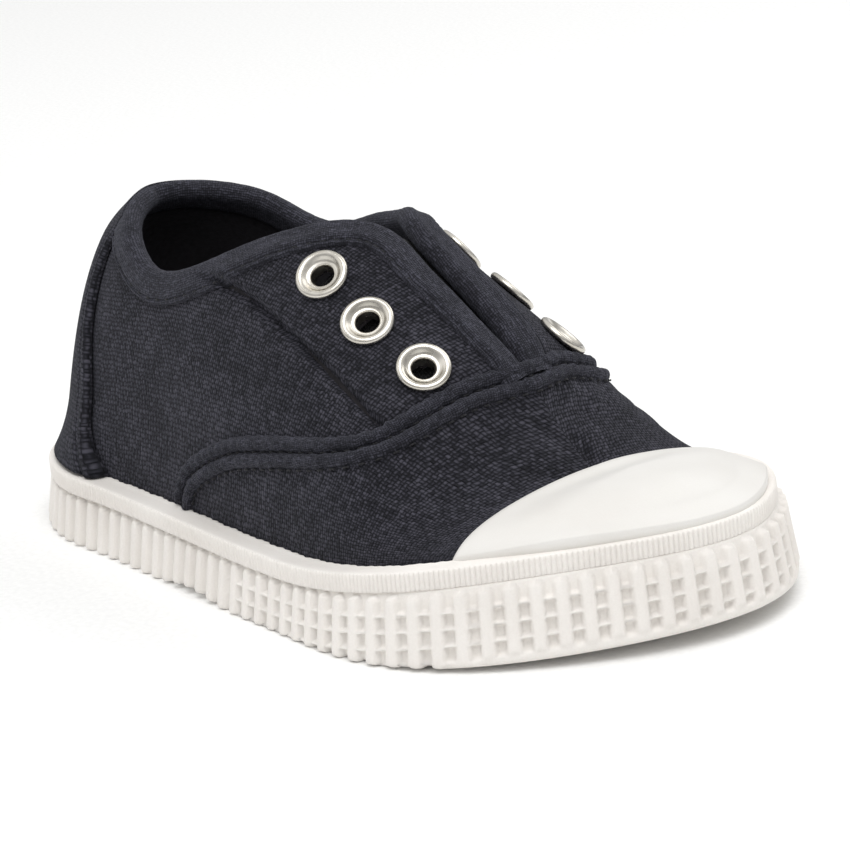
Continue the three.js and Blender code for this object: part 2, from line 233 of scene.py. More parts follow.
def feather_height(share):
    """Height of the foxing strip's top, where the upper goes in."""
    return seat_height(share) + STRIP


def toe_proud(share):
    """How far the wall stands out beyond the ledge, by a smoothstep towards the toe."""
    return TOE_PROUD * smoothstep(share, 0.6, 0.9)


def underside(share):
    """Height of the sole's underside: parabolas up at the toe and heel, a sine arch between."""
    toe = TOE_SPRING * np.clip((share - 0.7) / 0.3, 0, 1) ** 2
    heel = HEEL_SPRING * np.clip((0.12 - share) / 0.12, 0, 1) ** 2
    return toe + heel + ARCH * np.sin(np.pi * np.clip((share - 0.34) / 0.18, 0, 1)) ** 2


def outline_at(ring):
    """The last's outline in plan: the width table rounded off by ellipses at both ends."""
    side, place = split_ring(ring)
    share = share_at(place)
    table = by_side(side, WIDTH_AT, WIDTH_LATERAL, WIDTH_MEDIAL, share)
    heel_end = HEEL_ROUND / LENGTH
    toe_end = np.where(side < 0, TOE_ROUND["lateral"], TOE_ROUND["medial"]) / LENGTH
    heel = np.clip((heel_end - share) / heel_end, 0, 1)
    toe = np.clip((share - 1 + toe_end) / toe_end, 0, 1)
    half = BALL_WIDTH * table * np.sqrt(np.clip((1 - heel**2) * (1 - toe**2), 0, 1))
    return np.stack([LENGTH * share, centre_line(share) + side * half], -1)


def outline(ring, out):
    """The outline moved outwards along its own normal by a distance."""
    step = 1e-3
    along = outline_at(ring + step) - outline_at(ring - step)
    along /= np.linalg.norm(along, axis=-1, keepdims=True)
    normal = np.stack([along[..., 1], -along[..., 0]], -1)
    return outline_at(ring) + normal * np.asarray(out)[..., None]


def last(ring, way):
    """The upper's outer face: each section is a cubic Bezier curve from the feather edge,
    leaving it by rise and flare, to the ridge, which it meets level by crest."""
    side, place = split_ring(ring)
    share = share_at(place)
    edge = outline_at(ring)
    ridge_x = RIDGE_START + (LENGTH - RIDGE_END - RIDGE_START) * share
    ridge_x = ridge_x - TOE_TUCK * smoothstep(share, 0.8, 1)
    ridge_y = 0.9 * centre_line(share)
    height, rise, crest, flare, hollow = (curve(RIDGE_AT, table, share) for table in (
        RIDGE_HEIGHT, SECTION_RISE, SECTION_CREST, SECTION_FLARE, SECTION_HOLLOW))
    crest = crest - np.where(side > 0, hollow, 0)
    rest = 1 - way
    out = rest**3 + 3 * rest**2 * way * (1 + flare) + 3 * rest * way**2 * crest
    up = 3 * rest**2 * way * rise + 3 * rest * way**2 + way**3
    low, top = feather_height(share), INSTEP_HEIGHT * height
    return np.stack([
        ridge_x + (edge[..., 0] - ridge_x) * out,
        ridge_y + (edge[..., 1] - ridge_y) * out,
        low + (top - low) * up,
    ], -1)


def tangents(ring, way):
    """The last's two derivatives, along the ring and up the way, by central differences."""
    step = 1e-3
    along = (last(ring + step, way) - last(ring - step, way)) / (2 * step)
    up = (last(ring, way + step) - last(ring, way - step)) / (2 * step)
    return along, up


def unit(vectors):
    return vectors / np.maximum(np.linalg.norm(vectors, axis=-1, keepdims=True), 1e-9)


def outwards(ring, way):
    """The unit normal of the last: the cross product of its two derivatives. Near the two ends,
    where the ring turns back on itself, the derivative is taken a little to one side."""
    share = ring_share(ring)
    highest = 0.995 - 0.04 * smoothstep(share, 0.88, 1)
    return unit(np.cross(*tangents(ring, np.clip(way, 0.002, highest))))


def on_last(ring, way, lift):
    """A point of the last raised along its normal by a lift."""
    return last(ring, way) + outwards(ring, way) * np.asarray(lift)[..., None]


def land(points, ring, way, rounds=4):
    """Ring places and ways nearest to points, by Gauss-Newton steps from a first guess."""
    for _ in range(rounds):
        along, up = tangents(ring, way)
        miss = points - last(ring, way)
        aa, ab, bb = (along * along).sum(-1), (along * up).sum(-1), (up * up).sum(-1)
        ma, mb = (miss * along).sum(-1), (miss * up).sum(-1)
        det = np.maximum(aa * bb - ab * ab, 1e-6)
        ring = ring + np.clip((bb * ma - ab * mb) / det, -0.05, 0.05)
        way = np.clip(way + np.clip((aa * mb - ab * ma) / det, -0.1, 0.1), 0, 1)
    return ring, way


def opening_way(share, side=-1.0):
    """The way up the last at which the opening's edge lies, on the lateral or the medial side."""
    return np.minimum(by_side(side, OPENING_AT, OPENING_LATERAL, OPENING_MEDIAL, share), 1)


# ---- From numbers to meshes --------------------------------------------------------------

def find_home():
    """The shoe coordinates' origin in the row frame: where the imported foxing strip's box has it."""
    low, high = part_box("foxing_strip")
    loop = outline(np.arange(72) / 36, np.full(72, LEDGE))
    return np.array([low.x / MM - loop[:, 0].min(), high.y / MM - loop[:, 1].max(), 0.0])


HOME = find_home()


def grid_faces(rows, columns, around=False, across=False):
    """Quads of a grid numbered row by row. around joins the last row to the first one, and
    across the last column to the first."""
    number = np.arange(rows * columns).reshape(rows, columns)
    if around:
        number = np.concatenate([number, number[:1]])
    if across:
        number = np.concatenate([number, number[:, :1]], 1)
    return quads(number)


def quads(number):
    """The faces between the rows and columns of a grid of vertex numbers."""
    corners = number[:-1, :-1], number[1:, :-1], number[1:, 1:], number[:-1, 1:]
    return np.stack(corners, -1).reshape(-1, 4)


def new_piece(name, points, faces, material, uv=None, weld=0.0, flip=False):
    """Makes an object from points in shoe millimetres and rows of vertex numbers. uv holds two
    millimetre measures for each point, along the cloth and up it. Points closer than weld, in
    millimetres, are merged, and flip turns the faces over."""
    places = (np.asarray(points, float).reshape(-1, 3) + HOME) * MM
    faces = np.asarray(faces)[:, ::-1] if flip else np.asarray(faces)
    mesh = bpy.data.meshes.new(name)
    count, corners = len(faces), faces.shape[1]
    mesh.vertices.add(len(places))
    mesh.vertices.foreach_set("co", places.astype(np.float32).ravel())
    mesh.loops.add(count * corners)
    mesh.loops.foreach_set("vertex_index", faces.astype(np.int32).ravel())
    mesh.polygons.add(count)
    mesh.polygons.foreach_set("loop_start", np.arange(count, dtype=np.int32) * corners)
    if uv is not None:
        layer = mesh.uv_layers.new(name="cloth")
        flat = np.asarray(uv, float).reshape(-1, 2)[faces.ravel()]
        layer.data.foreach_set("uv", flat.astype(np.float32).ravel())
    mesh.update(calc_edges=True)
    mesh.validate()
    mesh.polygons.foreach_set("use_smooth", np.ones(len(mesh.polygons), bool))
    piece = bpy.data.objects.new(name, mesh)
    bpy.context.scene.collection.objects.link(piece)
    mesh.materials.append(material)
    if weld > 0:
        weld_mesh(mesh, weld)
    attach(piece, BODY)
    return piece


def weld_mesh(mesh, distance):
    """Merges vertices closer than a distance in millimetres and drops faces that collapse."""
    import bmesh
    work = bmesh.new()
    work.from_mesh(mesh)
    bmesh.ops.remove_doubles(work, verts=work.verts, dist=distance * MM)
    bmesh.ops.dissolve_degenerate(work, edges=work.edges, dist=1e-7)
    work.to_mesh(mesh)
    work.free()
    mesh.update()


def thicken(piece, thickness):
    """Gives a sheet its thickness in millimetres, inwards."""
    solid = piece.modifiers.new("thickness", "SOLIDIFY")
    solid.thickness = thickness * MM
    solid.offset = -1
    solid.use_even_offset = False


def run_lengths(path):
    """Distances along a path of points from its first one."""
    return np.concatenate([[0], np.cumsum(np.linalg.norm(np.diff(path, axis=0), axis=1))])


def even_path(ring, way, pitch):
    """A path on the last given by ring places and ways, redrawn with points a pitch apart."""
    lengths = run_lengths(last(ring, way))
    count = max(int(round(lengths[-1] / pitch)), 2)
    at = np.linspace(0, lengths[-1], count + 1)
    return np.interp(at, lengths, ring), np.interp(at, lengths, way), at


# ---- Materials ---------------------------------------------------------------------------

def linear(hex_colour):
    """An sRGB hex colour as linear RGBA."""
    values = np.array([int(hex_colour[i:i + 2], 16) for i in (1, 3, 5)]) / 255
    low, high = values / 12.92, ((values + 0.055) / 1.055) ** 2.4
    return (*np.where(values <= 0.04045, low, high), 1.0)


def add_node(tree, kind, settings=None, inputs=None):
    """Adds a node. settings are its attributes; inputs are values or sockets to link, by name
    or number."""
    node = tree.nodes.new(kind)
    for key, value in (settings or {}).items():
        setattr(node, key, value)
    for key, value in (inputs or {}).items():
        if isinstance(value, bpy.types.NodeSocket):
            tree.links.new(value, node.inputs[key])
        else:
            node.inputs[key].default_value = value
    return node


def new_material(name, **shader):
    """A material with one Principled shader whose uniform values are set on its sockets."""
    material = bpy.data.materials.new(name)
    material.use_nodes = True
    tree = material.node_tree
    principled = tree.nodes["Principled BSDF"]
    for key, value in shader.items():
        principled.inputs[key.replace("_", " ")].default_value = value
    return material, tree, principled


def maths(tree, operation, *values):
    return add_node(tree, "ShaderNodeMath", {"operation": operation}, dict(enumerate(values))).outputs[0]


def ramp(tree, value, stops):
    """A colour ramp through (position, hex colour) stops."""
    node = add_node(tree, "ShaderNodeValToRGB", inputs={0: value})
    elements = node.color_ramp.elements
    while len(elements) < len(stops):
        elements.new(0.5)
    for element, (position, colour) in zip(elements, stops):
        element.position = position
        element.color = linear(colour)
    return node.outputs[0]


def blend(tree, terms, more=0.0):
    """The sum of (value, weight) terms and a constant."""
    total = more
    for value, weight in terms:
        total = maths(tree, "MULTIPLY_ADD", value, weight, total)
    return total


def noise(tree, place, scale, detail=3.0, roughness=0.5):
    return add_node(tree, "ShaderNodeTexNoise", inputs={
        "Vector": place, "Scale": scale, "Detail": detail, "Roughness": roughness}).outputs[0]


def half_waves(tree, phase, period=1.0):
    """|sin(pi phase / period)|, the round backs of threads side by side."""
    angle = maths(tree, "MULTIPLY", phase, math.pi / period)
    return maths(tree, "ABSOLUTE", maths(tree, "SINE", angle))


def object_place(tree):
    return add_node(tree, "ShaderNodeTexCoord").outputs["Object"]


def cloth_place(tree):
    return add_node(tree, "ShaderNodeUVMap", {"uv_map": "cloth"}).outputs[0]


def paint(tree, principled, value, stops):
    tree.links.new(ramp(tree, value, stops), principled.inputs["Base Color"])


def vary_roughness(tree, principled, value, low, high):
    node = add_node(tree, "ShaderNodeMapRange", inputs={
        "Value": value, "From Min": 0.3, "From Max": 0.7, "To Min": low, "To Max": high})
    tree.links.new(node.outputs[0], principled.inputs["Roughness"])


def raise_by(tree, principled, height, distance):
    """Bumps a shader by a height socket, 0 to 1, over a distance in millimetres."""
    node = add_node(tree, "ShaderNodeBump", inputs={"Height": height, "Distance": distance * MM})
    tree.links.new(node.outputs["Normal"], principled.inputs["Normal"])


def yarn(tree, phase, along):
    """The shade of the yarn that a phase numbers, drifting slowly along its own length."""
    apart = 7.31  # in the noise, so that neighbouring yarns differ
    number = maths(tree, "MULTIPLY", maths(tree, "FLOOR", phase), apart)
    place = add_node(tree, "ShaderNodeCombineXYZ", inputs={
        0: number, 1: maths(tree, "MULTIPLY", along, 0.45)})
    return noise(tree, place.outputs[0], 1.0, 2.0)


def woven(name, thread, stops, twill=False, relief=0.16, sheen=0.08):
    """Woven cloth from its own UV map, in millimetres. Warp and weft are half sine waves that
    take turns on top, cell by cell, or along a diagonal where it is a twill. Each yarn has a
    shade of its own, with fibres and slubs over it. The threads' height is painted into the
    colour too: painted shade in the gaps between them and a painted highlight on their tops."""
    material, tree, principled = new_material(
        name, Roughness=0.92, Sheen_Weight=sheen, Sheen_Roughness=0.5, Sheen_Tint=linear("#c3c6d6"),
        Specular_IOR_Level=0.2)
    place = cloth_place(tree)
    wander = add_node(tree, "ShaderNodeTexNoise", inputs={"Vector": place, "Scale": 0.35})
    drift = add_node(tree, "ShaderNodeVectorMath", {"operation": "MULTIPLY_ADD"}, {
        0: wander.outputs["Color"], 1: (0.9, 0.9, 0), 2: place}).outputs[0]
    along, up = add_node(tree, "ShaderNodeSeparateXYZ", inputs={0: drift}).outputs[:2]
    warp_phase = maths(tree, "DIVIDE", along, thread)
    weft_phase = maths(tree, "DIVIDE", up, thread)
    cells = maths(tree, "ADD", maths(tree, "FLOOR", warp_phase), maths(tree, "FLOOR", weft_phase))
    if twill:
        turn = maths(tree, "LESS_THAN", maths(tree, "FLOORED_MODULO", cells, 3.0), 1.5)
    else:
        turn = maths(tree, "FLOORED_MODULO", cells, 2.0)
    warp, weft = half_waves(tree, warp_phase), half_waves(tree, weft_phase)
    over = add_node(tree, "ShaderNodeMix", inputs={0: turn, 2: warp, 3: weft}).outputs[0]
    height = blend(tree, ((over, 0.62), (maths(tree, "MULTIPLY", warp, weft), 0.38)))
    heather = add_node(tree, "ShaderNodeMix", inputs={
        0: turn, 2: yarn(tree, warp_phase, up), 3: yarn(tree, weft_phase, along)}).outputs[0]
    fibre = noise(tree, place, 2.6, 4.0, 0.65)
    slub = noise(tree, place, 0.12)
    # The threads' height adds painted shade in the gaps and a painted highlight on the tops to the yarns'
    # own shades, fibres and slubs.
    shade = blend(tree, ((height, 0.5), (fibre, 0.4), (heather, 1.2), (slub, 0.35)), -0.679)
    paint(tree, principled, shade, stops)
    raise_by(tree, principled, blend(tree, ((fibre, 0.5),), height), relief)
    return material


def brushed_lining():
    """Brushed cotton lining: a short soft nap, so no threads show, only fibre clumps and sheen."""
    material, tree, principled = new_material(
        "Brushed cotton lining", Roughness=0.95, Sheen_Weight=0.35, Sheen_Tint=linear("#8a8894"))
    place = object_place(tree)
    nap, patch = noise(tree, place, 900.0, 4.0), noise(tree, place, 90.0)
    paint(tree, principled, blend(tree, ((nap, 0.6), (patch, 0.4))), ((0.3, "#0d0b0d"), (0.7, "#262327")))
    raise_by(tree, principled, nap, 0.25)
    return material


def elastic_knit():
    """Knitted elastic: covered rubber cords side by side, seen as fine ribs along the foot, with
    the knit's small loops across them. Their height is painted into the colour: painted shade
    in the grooves and a painted highlight on the tops of the cords and loops."""
    material, tree, principled = new_material("Knitted elastic", Roughness=0.85, Sheen_Weight=0.2)
    along, across = add_node(tree, "ShaderNodeSeparateXYZ", inputs={0: cloth_place(tree)}).outputs[:2]
    loops = maths(tree, "MULTIPLY_ADD", half_waves(tree, along, 0.55), 0.5, 0.5)
    height = maths(tree, "MULTIPLY", half_waves(tree, across, 0.9), loops)
    # The ribs' height as colour: painted shade in the grooves, a painted highlight on the tops.
    paint(tree, principled, height, ((0.1, "#050506"), (0.9, "#232228")))
    raise_by(tree, principled, height, 0.3)
    return material


def moulded_rubber(name, pale, warm, roughness, grain, relief, specular):
    """White vulcanised rubber: a matt bloom from the mould, faint warm patches where it has
    yellowed unevenly, and a fine mould grain of a size in millimetres."""
    material, tree, principled = new_material(name, Specular_IOR_Level=specular, IOR=1.52)
    place = object_place(tree)
    cloud, pores = noise(tree, place, 55.0, 4.0), noise(tree, place, 1 / (grain * MM))
    paint(tree, principled, blend(tree, ((cloud, 0.7), (pores, 0.3))), ((0.32, warm), (0.62, pale)))
    vary_roughness(tree, principled, cloud, roughness - 0.06, roughness + 0.06)
    raise_by(tree, principled, pores, relief)
    return material


def nickel_plate():
    """Nickel-plated brass: bright, slightly warm metal with fine tumbling marks."""
    material, tree, principled = new_material("Nickel plated brass", Metallic=1.0)
    place = object_place(tree)
    marks, haze = noise(tree, place, 1400.0), noise(tree, place, 220.0)
    paint(tree, principled, haze, ((0.3, "#b9b4a9"), (0.7, "#dedad2")))
    vary_roughness(tree, principled, haze, 0.2, 0.34)
    raise_by(tree, principled, marks, 0.012)
    return material


def sewing_thread():
    """Spun polyester thread: two plies twisted together, so its shade goes in short slants:
    painted shade in the groove between the plies and a painted highlight on their backs.
    """
    material, tree, principled = new_material("Spun polyester thread", Roughness=0.8, Sheen_Weight=0.05)
    twist = add_node(tree, "ShaderNodeTexWave", {"bands_direction": "DIAGONAL"}, {
        "Vector": object_place(tree), "Scale": 700.0, "Distortion": 1.0}).outputs[0]
    # The twist's bands as colour: painted shade in the grooves, a painted highlight on the plies' backs.
    paint(tree, principled, twist, ((0.2, "#08080b"), (0.8, "#1d1d23")))
    raise_by(tree, principled, twist, 0.05)
    return material


MATERIALS = {}


def material_for(key):
    """The materials, each made once when it is first asked for."""
    if key not in MATERIALS:
        look = bpy.context.scene.slip_on_look
        makers = {
            # Real threads are 0.45 mm apart, drawn at 0.62 so that they show.
            # The ramp runs from the painted shade between the threads, through the canvas's own shade, to
            # the painted highlight on their tops.
            "canvas": lambda: woven("Plain weave cotton canvas", 0.62, (
                (0.18, "#060609"), (0.55, look.canvas), (0.95, "#47464f"))),
            # Real twill has 0.3 mm threads, drawn at 0.45.
            # The ramp runs from the painted shade between the threads, through the binding's own shade,
            # to the painted highlight on their tops.
            "twill": lambda: woven("Cotton twill binding", 0.45, (
                (0.18, "#17171c"), (0.55, look.binding), (0.95, "#484852")), True, 0.09, 0.12),
            "lining": brushed_lining,
            "elastic": elastic_knit,
            "sole": lambda: moulded_rubber(
                "Moulded white sole rubber", look.sole, "#e5e0da", 0.62, 0.35, 0.03, 0.35),
            "cap": lambda: moulded_rubber(
                "Smooth white cap rubber", look.cap, "#dcd9d4", 0.5, 0.25, 0.008, 0.4),
            "nickel": nickel_plate,
            "thread": sewing_thread,
        }
        MATERIALS[key] = makers[key]()
    return MATERIALS[key]


# ---- Upper -------------------------------------------------------------------------------

def seam_share(way):
    """The share of the length at which the vamp seam lies."""
    return curve(SEAM_WAY, SEAM_SHARE, way)


def relief(ring, way):
    """Lift of the canvas in millimetres: a smoothstep for the eyestay panel and a bump for the
    pressed valley beside it, a sine for the puckers beside the vamp seam, bumps for the creases
    at the flex of the toe, and two sines of x and y for the cloth's unevenness."""
    share = ring_share(ring)
    behind = smoothstep(seam_share(way) - share, 0.0, 0.02) * smoothstep(share, 0.3, 0.38)
    panel = PANEL_STEP * smoothstep(way, 0.512, 0.526) * behind
    valley = VALLEY * bump(way - 0.506, 0.02) * behind
    ahead = share - seam_share(way)
    x, y, _ = np.moveaxis(last(ring, way), -1, 0)
    pucker = PUCKER * np.sin(1.25 * y + 0.95 * x + np.sin(0.3 * x)) * bump(ahead - 0.02, 0.05)
    sag = SAG * bump(way - 0.32, 0.16) * bump(share - 0.5, 0.16)
    crease = CREASE * smoothstep(way, 0.15, 0.5) * bump(ahead - 0.05 - 0.03 * np.sin(4 * way), 0.028)
    fold = SECOND_CREASE * smoothstep(way, 0.1, 0.5) * bump(
        ahead - 0.085 - 0.02 * np.sin(5 * way + 1), 0.03)
    uneven = UNEVENNESS * np.sin(0.16 * x + 0.11 * y) * np.sin(0.13 * y + 0.07 * x + 1)
    return (panel - valley + pucker - sag - crease + fold + uneven) * smoothstep(way, 0, 0.08)


def cloth_uv(ring, way):
    """Millimetre measures on the cloth: along it by the outline's length, up it by about half
    the girth of its section."""
    fine = np.linspace(0, 2, 1201)
    along = np.interp(np.mod(ring, 2), fine, run_lengths(outline_at(fine)))
    share = ring_share(ring)
    up = way * (0.55 * INSTEP_HEIGHT * curve(RIDGE_AT, RIDGE_HEIGHT, share) + 22)
    return np.stack([along, up], -1)


def upper_grid(columns, rows, lift, trim):
    """The upper as a grid, each column from inside the sole up to the opening's edge, which is
    cut back by a trim as a share of the way."""
    ring = np.arange(2 * columns) / columns
    side, place = split_ring(ring)
    share = share_at(place)
    edge = opening_way(share, side)
    top = edge - trim * (edge < 1)
    way = top[:, None] * np.linspace(0, 1, rows)[None, :]
    rings = np.broadcast_to(ring[:, None], way.shape)
    points = on_last(rings, way, lift(rings, way))
    uv = cloth_uv(rings, way)
    base = outline(ring, lift(ring, np.zeros_like(ring)))
    foot = np.concatenate([base, (seat_height(share) + FOOT_GAP)[:, None]], 1)
    points = np.concatenate([foot[:, None], points], 1)
    uv = np.concatenate([uv[:, :1] - np.array([0, STRIP]), uv], 1)
    return points, uv


def eyelet_seats():
    """Name, point and outward axis of each eyelet."""
    seats = []
    for side, sign in zip(SIDES, (-1, 1)):
        for i, (share, way) in enumerate(EYELETS[side]):
            ring = np.array([float(ring_of(share, sign))])
            ways = np.array([way])
            point = on_last(ring, ways, relief(ring, ways))[0]
            seats.append((f"eyelet_{side}_{i + 1}", point, outwards(ring, ways)[0]))
    return seats


def without_holes(points, faces, radius):
    """Faces that stay once those within a radius of an eyelet's middle are left out."""
    middles = points.reshape(-1, 3)[faces].mean(1)
    keep = np.ones(len(faces), bool)
    for _, point, _ in eyelet_seats():
        keep &= np.linalg.norm(middles - point, axis=1) > radius
    return faces[keep]


class SlipOnCanvas(bpy.types.Operator):
    """Make the canvas upper with its panel step, valley and soft creases"""

    bl_idname = "slipon.canvas"
    bl_label = "Canvas upper"

    def execute(self, context):
        def lift(ring, way):
            side, place = split_ring(ring)
            # The cloth is pressed flat and thin where the binding grips it.
            free = smoothstep(opening_way(share_at(place), side) - way, 0.02, 0.08)
            return relief(ring, way) * free - PRESSED * (1 - free)
        points, uv = upper_grid(240, 100, lift, trim=0.02)
        faces = without_holes(points, grid_faces(*points.shape[:2], around=True), CANVAS_HOLE)
        piece = new_piece("canvas_upper", points, faces, material_for("canvas"), uv, WELD)
        thicken(piece, CANVAS)
        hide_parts("upper")
        return {"FINISHED"}


class SlipOnLining(bpy.types.Operator):
    """Make the lining as a sheet just inside the canvas, with a seam down its quarters"""

    bl_idname = "slipon.lining"
    bl_label = "Lining"

    def execute(self, context):
        def lift(ring, way):
            share = ring_share(ring)
            soft = 0.25 * np.sin(share * 31 + 4 * way) * np.sin(way * 13 + 2 * share)
            seam = 0.5 * bump(way - 0.36 - 0.1 * share, 0.012) * smoothstep(share, 0.02, 0.1)
            return soft * bump(way - 0.4, 0.4) - seam - LINING_DEPTH
        points, uv = upper_grid(150, 60, lift, trim=0.012)
        faces = without_holes(points, grid_faces(*points.shape[:2], around=True), LINING_HOLE)
        piece = new_piece("lining", points, faces, material_for("lining"), uv, WELD)
        thicken(piece, LINING)
        return {"FINISHED"}


def collar_path(pitch):
    """The opening's edge, moved into the cloth by the binding's inset, from the slit's end along
    the lateral side, round the heel and back. Points are a pitch apart."""
    share = np.concatenate([np.linspace(SLIT_END - 0.004, 0.5, 60), np.linspace(0.499, 0, 240)])
    places = place_at(share)
    ring = np.concatenate([places, -places[-2::-1]])
    way = np.concatenate([opening_way(share, -1), opening_way(share[-2::-1], 1)])
    ring, way, at = even_path(ring, np.minimum(way, 0.998), pitch)
    # The tape rounds off the opening's corners a little.
    reach = int(round(CORNER_ROUND / pitch))
    kernel = np.ones(2 * reach + 1) / (2 * reach + 1)
    way = np.convolve(np.pad(way, reach, mode="edge"), kernel, mode="valid")
    ring, way = land(last(ring, way) + BINDING_INSET * into_cloth(ring, way), ring, way)
    return ring, way, at


def into_cloth(ring, way):
    """Unit vectors along the surface, square to a path on it and pointing down the last."""
    points = last(ring, way)
    inward = unit(np.cross(unit(np.gradient(points, axis=0)), outwards(ring, way)))
    return inward * np.where((inward * tangents(ring, way)[1]).sum(-1).mean() > 0, -1.0, 1.0)


class SlipOnBinding(bpy.types.Operator):
    """Make the twill binding that rolls over the collar and runs down both facings"""

    bl_idname = "slipon.binding"
    bl_label = "Collar binding"

    def execute(self, context):
        ring, way, at = collar_path(0.9)
        # The outer half: distances down from the edge, and lifts at them, with a stitched groove.
        outer = np.array([4.7, 4.6, 4.3, 3.95, 3.75, 3.55, 3.1, 2.4, 1.7, 1.0, 0.4])
        lifts = np.array([0.15, 0.6, 0.85, 0.8, 0.55, 0.8, 1.0, 1.05, 1.1, 1.15, 1.15])
        share = ring_share(ring)
        # The tape narrows towards the slit's end, where its two arms meet.
        narrow = np.where(share > 0.5, 1 - 0.12 * smoothstep(share, 0.5, 0.7), 1.0)
        points = last(ring, way)
        normal = outwards(ring, way)
        inward = into_cloth(ring, way)
        target = points[:, None] + inward[:, None] * (outer[None, :] * narrow[:, None])[..., None]
        r, w = land(target, ring[:, None], way[:, None])
        flat = relief(r, w) * smoothstep(outer, 0.0, 3.0)[None, :]
        rows_out = on_last(r, w, lifts + flat)
        # The roll: half an ellipse round the canvas's and the lining's middle.
        angles = np.linspace(0, np.pi, 10)[1:-1]
        centre = points - normal * CANVAS
        roll = (centre[:, None] + normal[:, None] * (ROLL_RADIUS * np.cos(angles))[None, :, None]
                - inward[:, None] * (0.85 * ROLL_RADIUS * np.sin(angles))[None, :, None])
        # The inner half: distances down from the edge, and depths at them.
        inside = np.array([0.4, 1.6, 3.2, 4.2, 4.4])
        under = np.array([-2.95, -2.9, -2.8, -2.6, -1.9])
        target = points[:, None] + inward[:, None] * inside[None, :, None]
        r, w = land(target, ring[:, None], way[:, None])
        rows_in = on_last(r, w, under)
        rows = np.concatenate([rows_out, roll, rows_in], 1)
        # The tape's fullness comes and goes a little.
        wobble = 1 + 0.02 * np.sin(at * 1.9) * np.sin(at * 0.37)
        rows = points[:, None] + (rows - points[:, None]) * wobble[:, None, None]
        girth = np.concatenate([-outer, np.linspace(0.8, 5.0, len(angles)), 5.5 + inside])
        uv = np.stack(np.meshgrid(at, girth, indexing="ij"), -1)
        faces = grid_faces(*rows.shape[:2], across=True)
        new_piece("collar_binding", rows, faces, material_for("twill"), uv)
        return {"FINISHED"}


def seam_path(pitch):
    """The vamp seam's middle, from the lateral sole edge over the ridge to the medial one, as
    ring places, ways and distances a pitch apart."""
    half = np.linspace(0.01, 0.999, 200)
    way = np.concatenate([half, half[::-1]])
    side = np.repeat([-1, 1], len(half))
    lengths = run_lengths(last(ring_of(seam_share(way), side), way))
    at = np.linspace(0, lengths[-1], int(round(lengths[-1] / pitch)) + 1)
    way = np.interp(at, lengths, way)
    side = np.where(np.interp(at, lengths, side) < 0, -1, 1)
    return ring_of(seam_share(way), side), way, at


class SlipOnVampSeam(bpy.types.Operator):
    """Make the double rolled seam that joins the vamp to the quarters"""

    bl_idname = "slipon.vamp_seam"
    bl_label = "Vamp seam"

    def execute(self, context):
        ring, way, at = seam_path(0.8)
        points = last(ring, way)
        normal = outwards(ring, way)
        over = np.abs(np.linspace(-1, 1, len(at))) < 0.03  # where the seam crosses the ridge
        across = np.linspace(-SEAM_HALF, SEAM_HALF, 37)
        round_part = 1 - ((np.abs(across) - CORD_PLACE) / CORD_HALF) ** 2
        hump = CORD_HEIGHT * np.sqrt(np.clip(round_part, 0, 1)) - 0.25
        along = unit(np.gradient(points, axis=0))
        left = unit(np.cross(normal, along))
        wave = 0.12 * np.sin(at * 2.4 + np.sin(at * 0.7))
        target = points[:, None] + left[:, None] * (across[None, :] + wave[:, None])[..., None]
        r, w = land(target, ring[:, None], way[:, None])
        puff = 1 + 0.14 * np.sin(at * 2.5)[:, None] * np.sign(across)[None, :]
        # Each point stands on the surface, but keeps its own path across the ridge.
        base = np.where(over[:, None, None], target, last(r, w))
        lift = hump[None, :] * puff + np.maximum(relief(r, w), 0) * 0.6 - 0.15
        rows = base + normal[:, None] * lift[..., None]
        uv = np.stack(np.meshgrid(at, across * 1.5, indexing="ij"), -1)
        faces = grid_faces(*rows.shape[:2])
        new_piece("vamp_seam", rows, faces, material_for("twill"), uv)
        return {"FINISHED"}


class SlipOnHeelPanel(bpy.types.Operator):
    """Make the heel panel, which flares out over the sole at its foot"""

    bl_idname = "slipon.heel_panel"
    bl_label = "Heel panel"

    def execute(self, context):
        rows, half = 70, 60
        t = np.linspace(0, 1, rows)
        edge = place_at(curve(HEEL_WAY, HEEL_SHARE, t * HEEL_WAY[-1]))
        spread = np.linspace(-1, 1, 2 * half + 1)
        ring = spread[:, None] * edge[None, :]
        share = share_at(np.abs(ring))
        way = t[None, :] * (opening_way(share) - 0.03)
        from_edge = 1 - np.abs(spread)
        # A rolled cord, a groove beside it, then the flat of the panel.
        border = (smoothstep(from_edge, 0, 0.018) - 0.3 * bump(from_edge - 0.06, 0.02))[:, None]
        flare = HEEL_FLARE * np.clip(1 - way / 0.16, 0, 1) ** 2
        # The cord gets flatter under the collar's binding.
        cord = HEEL_CORD * (1 - 0.55 * smoothstep(t, 0.8, 0.95))[None, :]
        lift = 0.1 + (cord + flare) * border
        points = on_last(ring, way, lift)
        uv = cloth_uv(ring, way)
        uv[..., 0] = -spread[:, None] * HEEL_PANEL_HALF
        faces = grid_faces(*points.shape[:2])
        piece = new_piece("heel_panel", points, faces, material_for("canvas"), uv, flip=True)
        thicken(piece, HEEL_CLOTH)
        return {"FINISHED"}


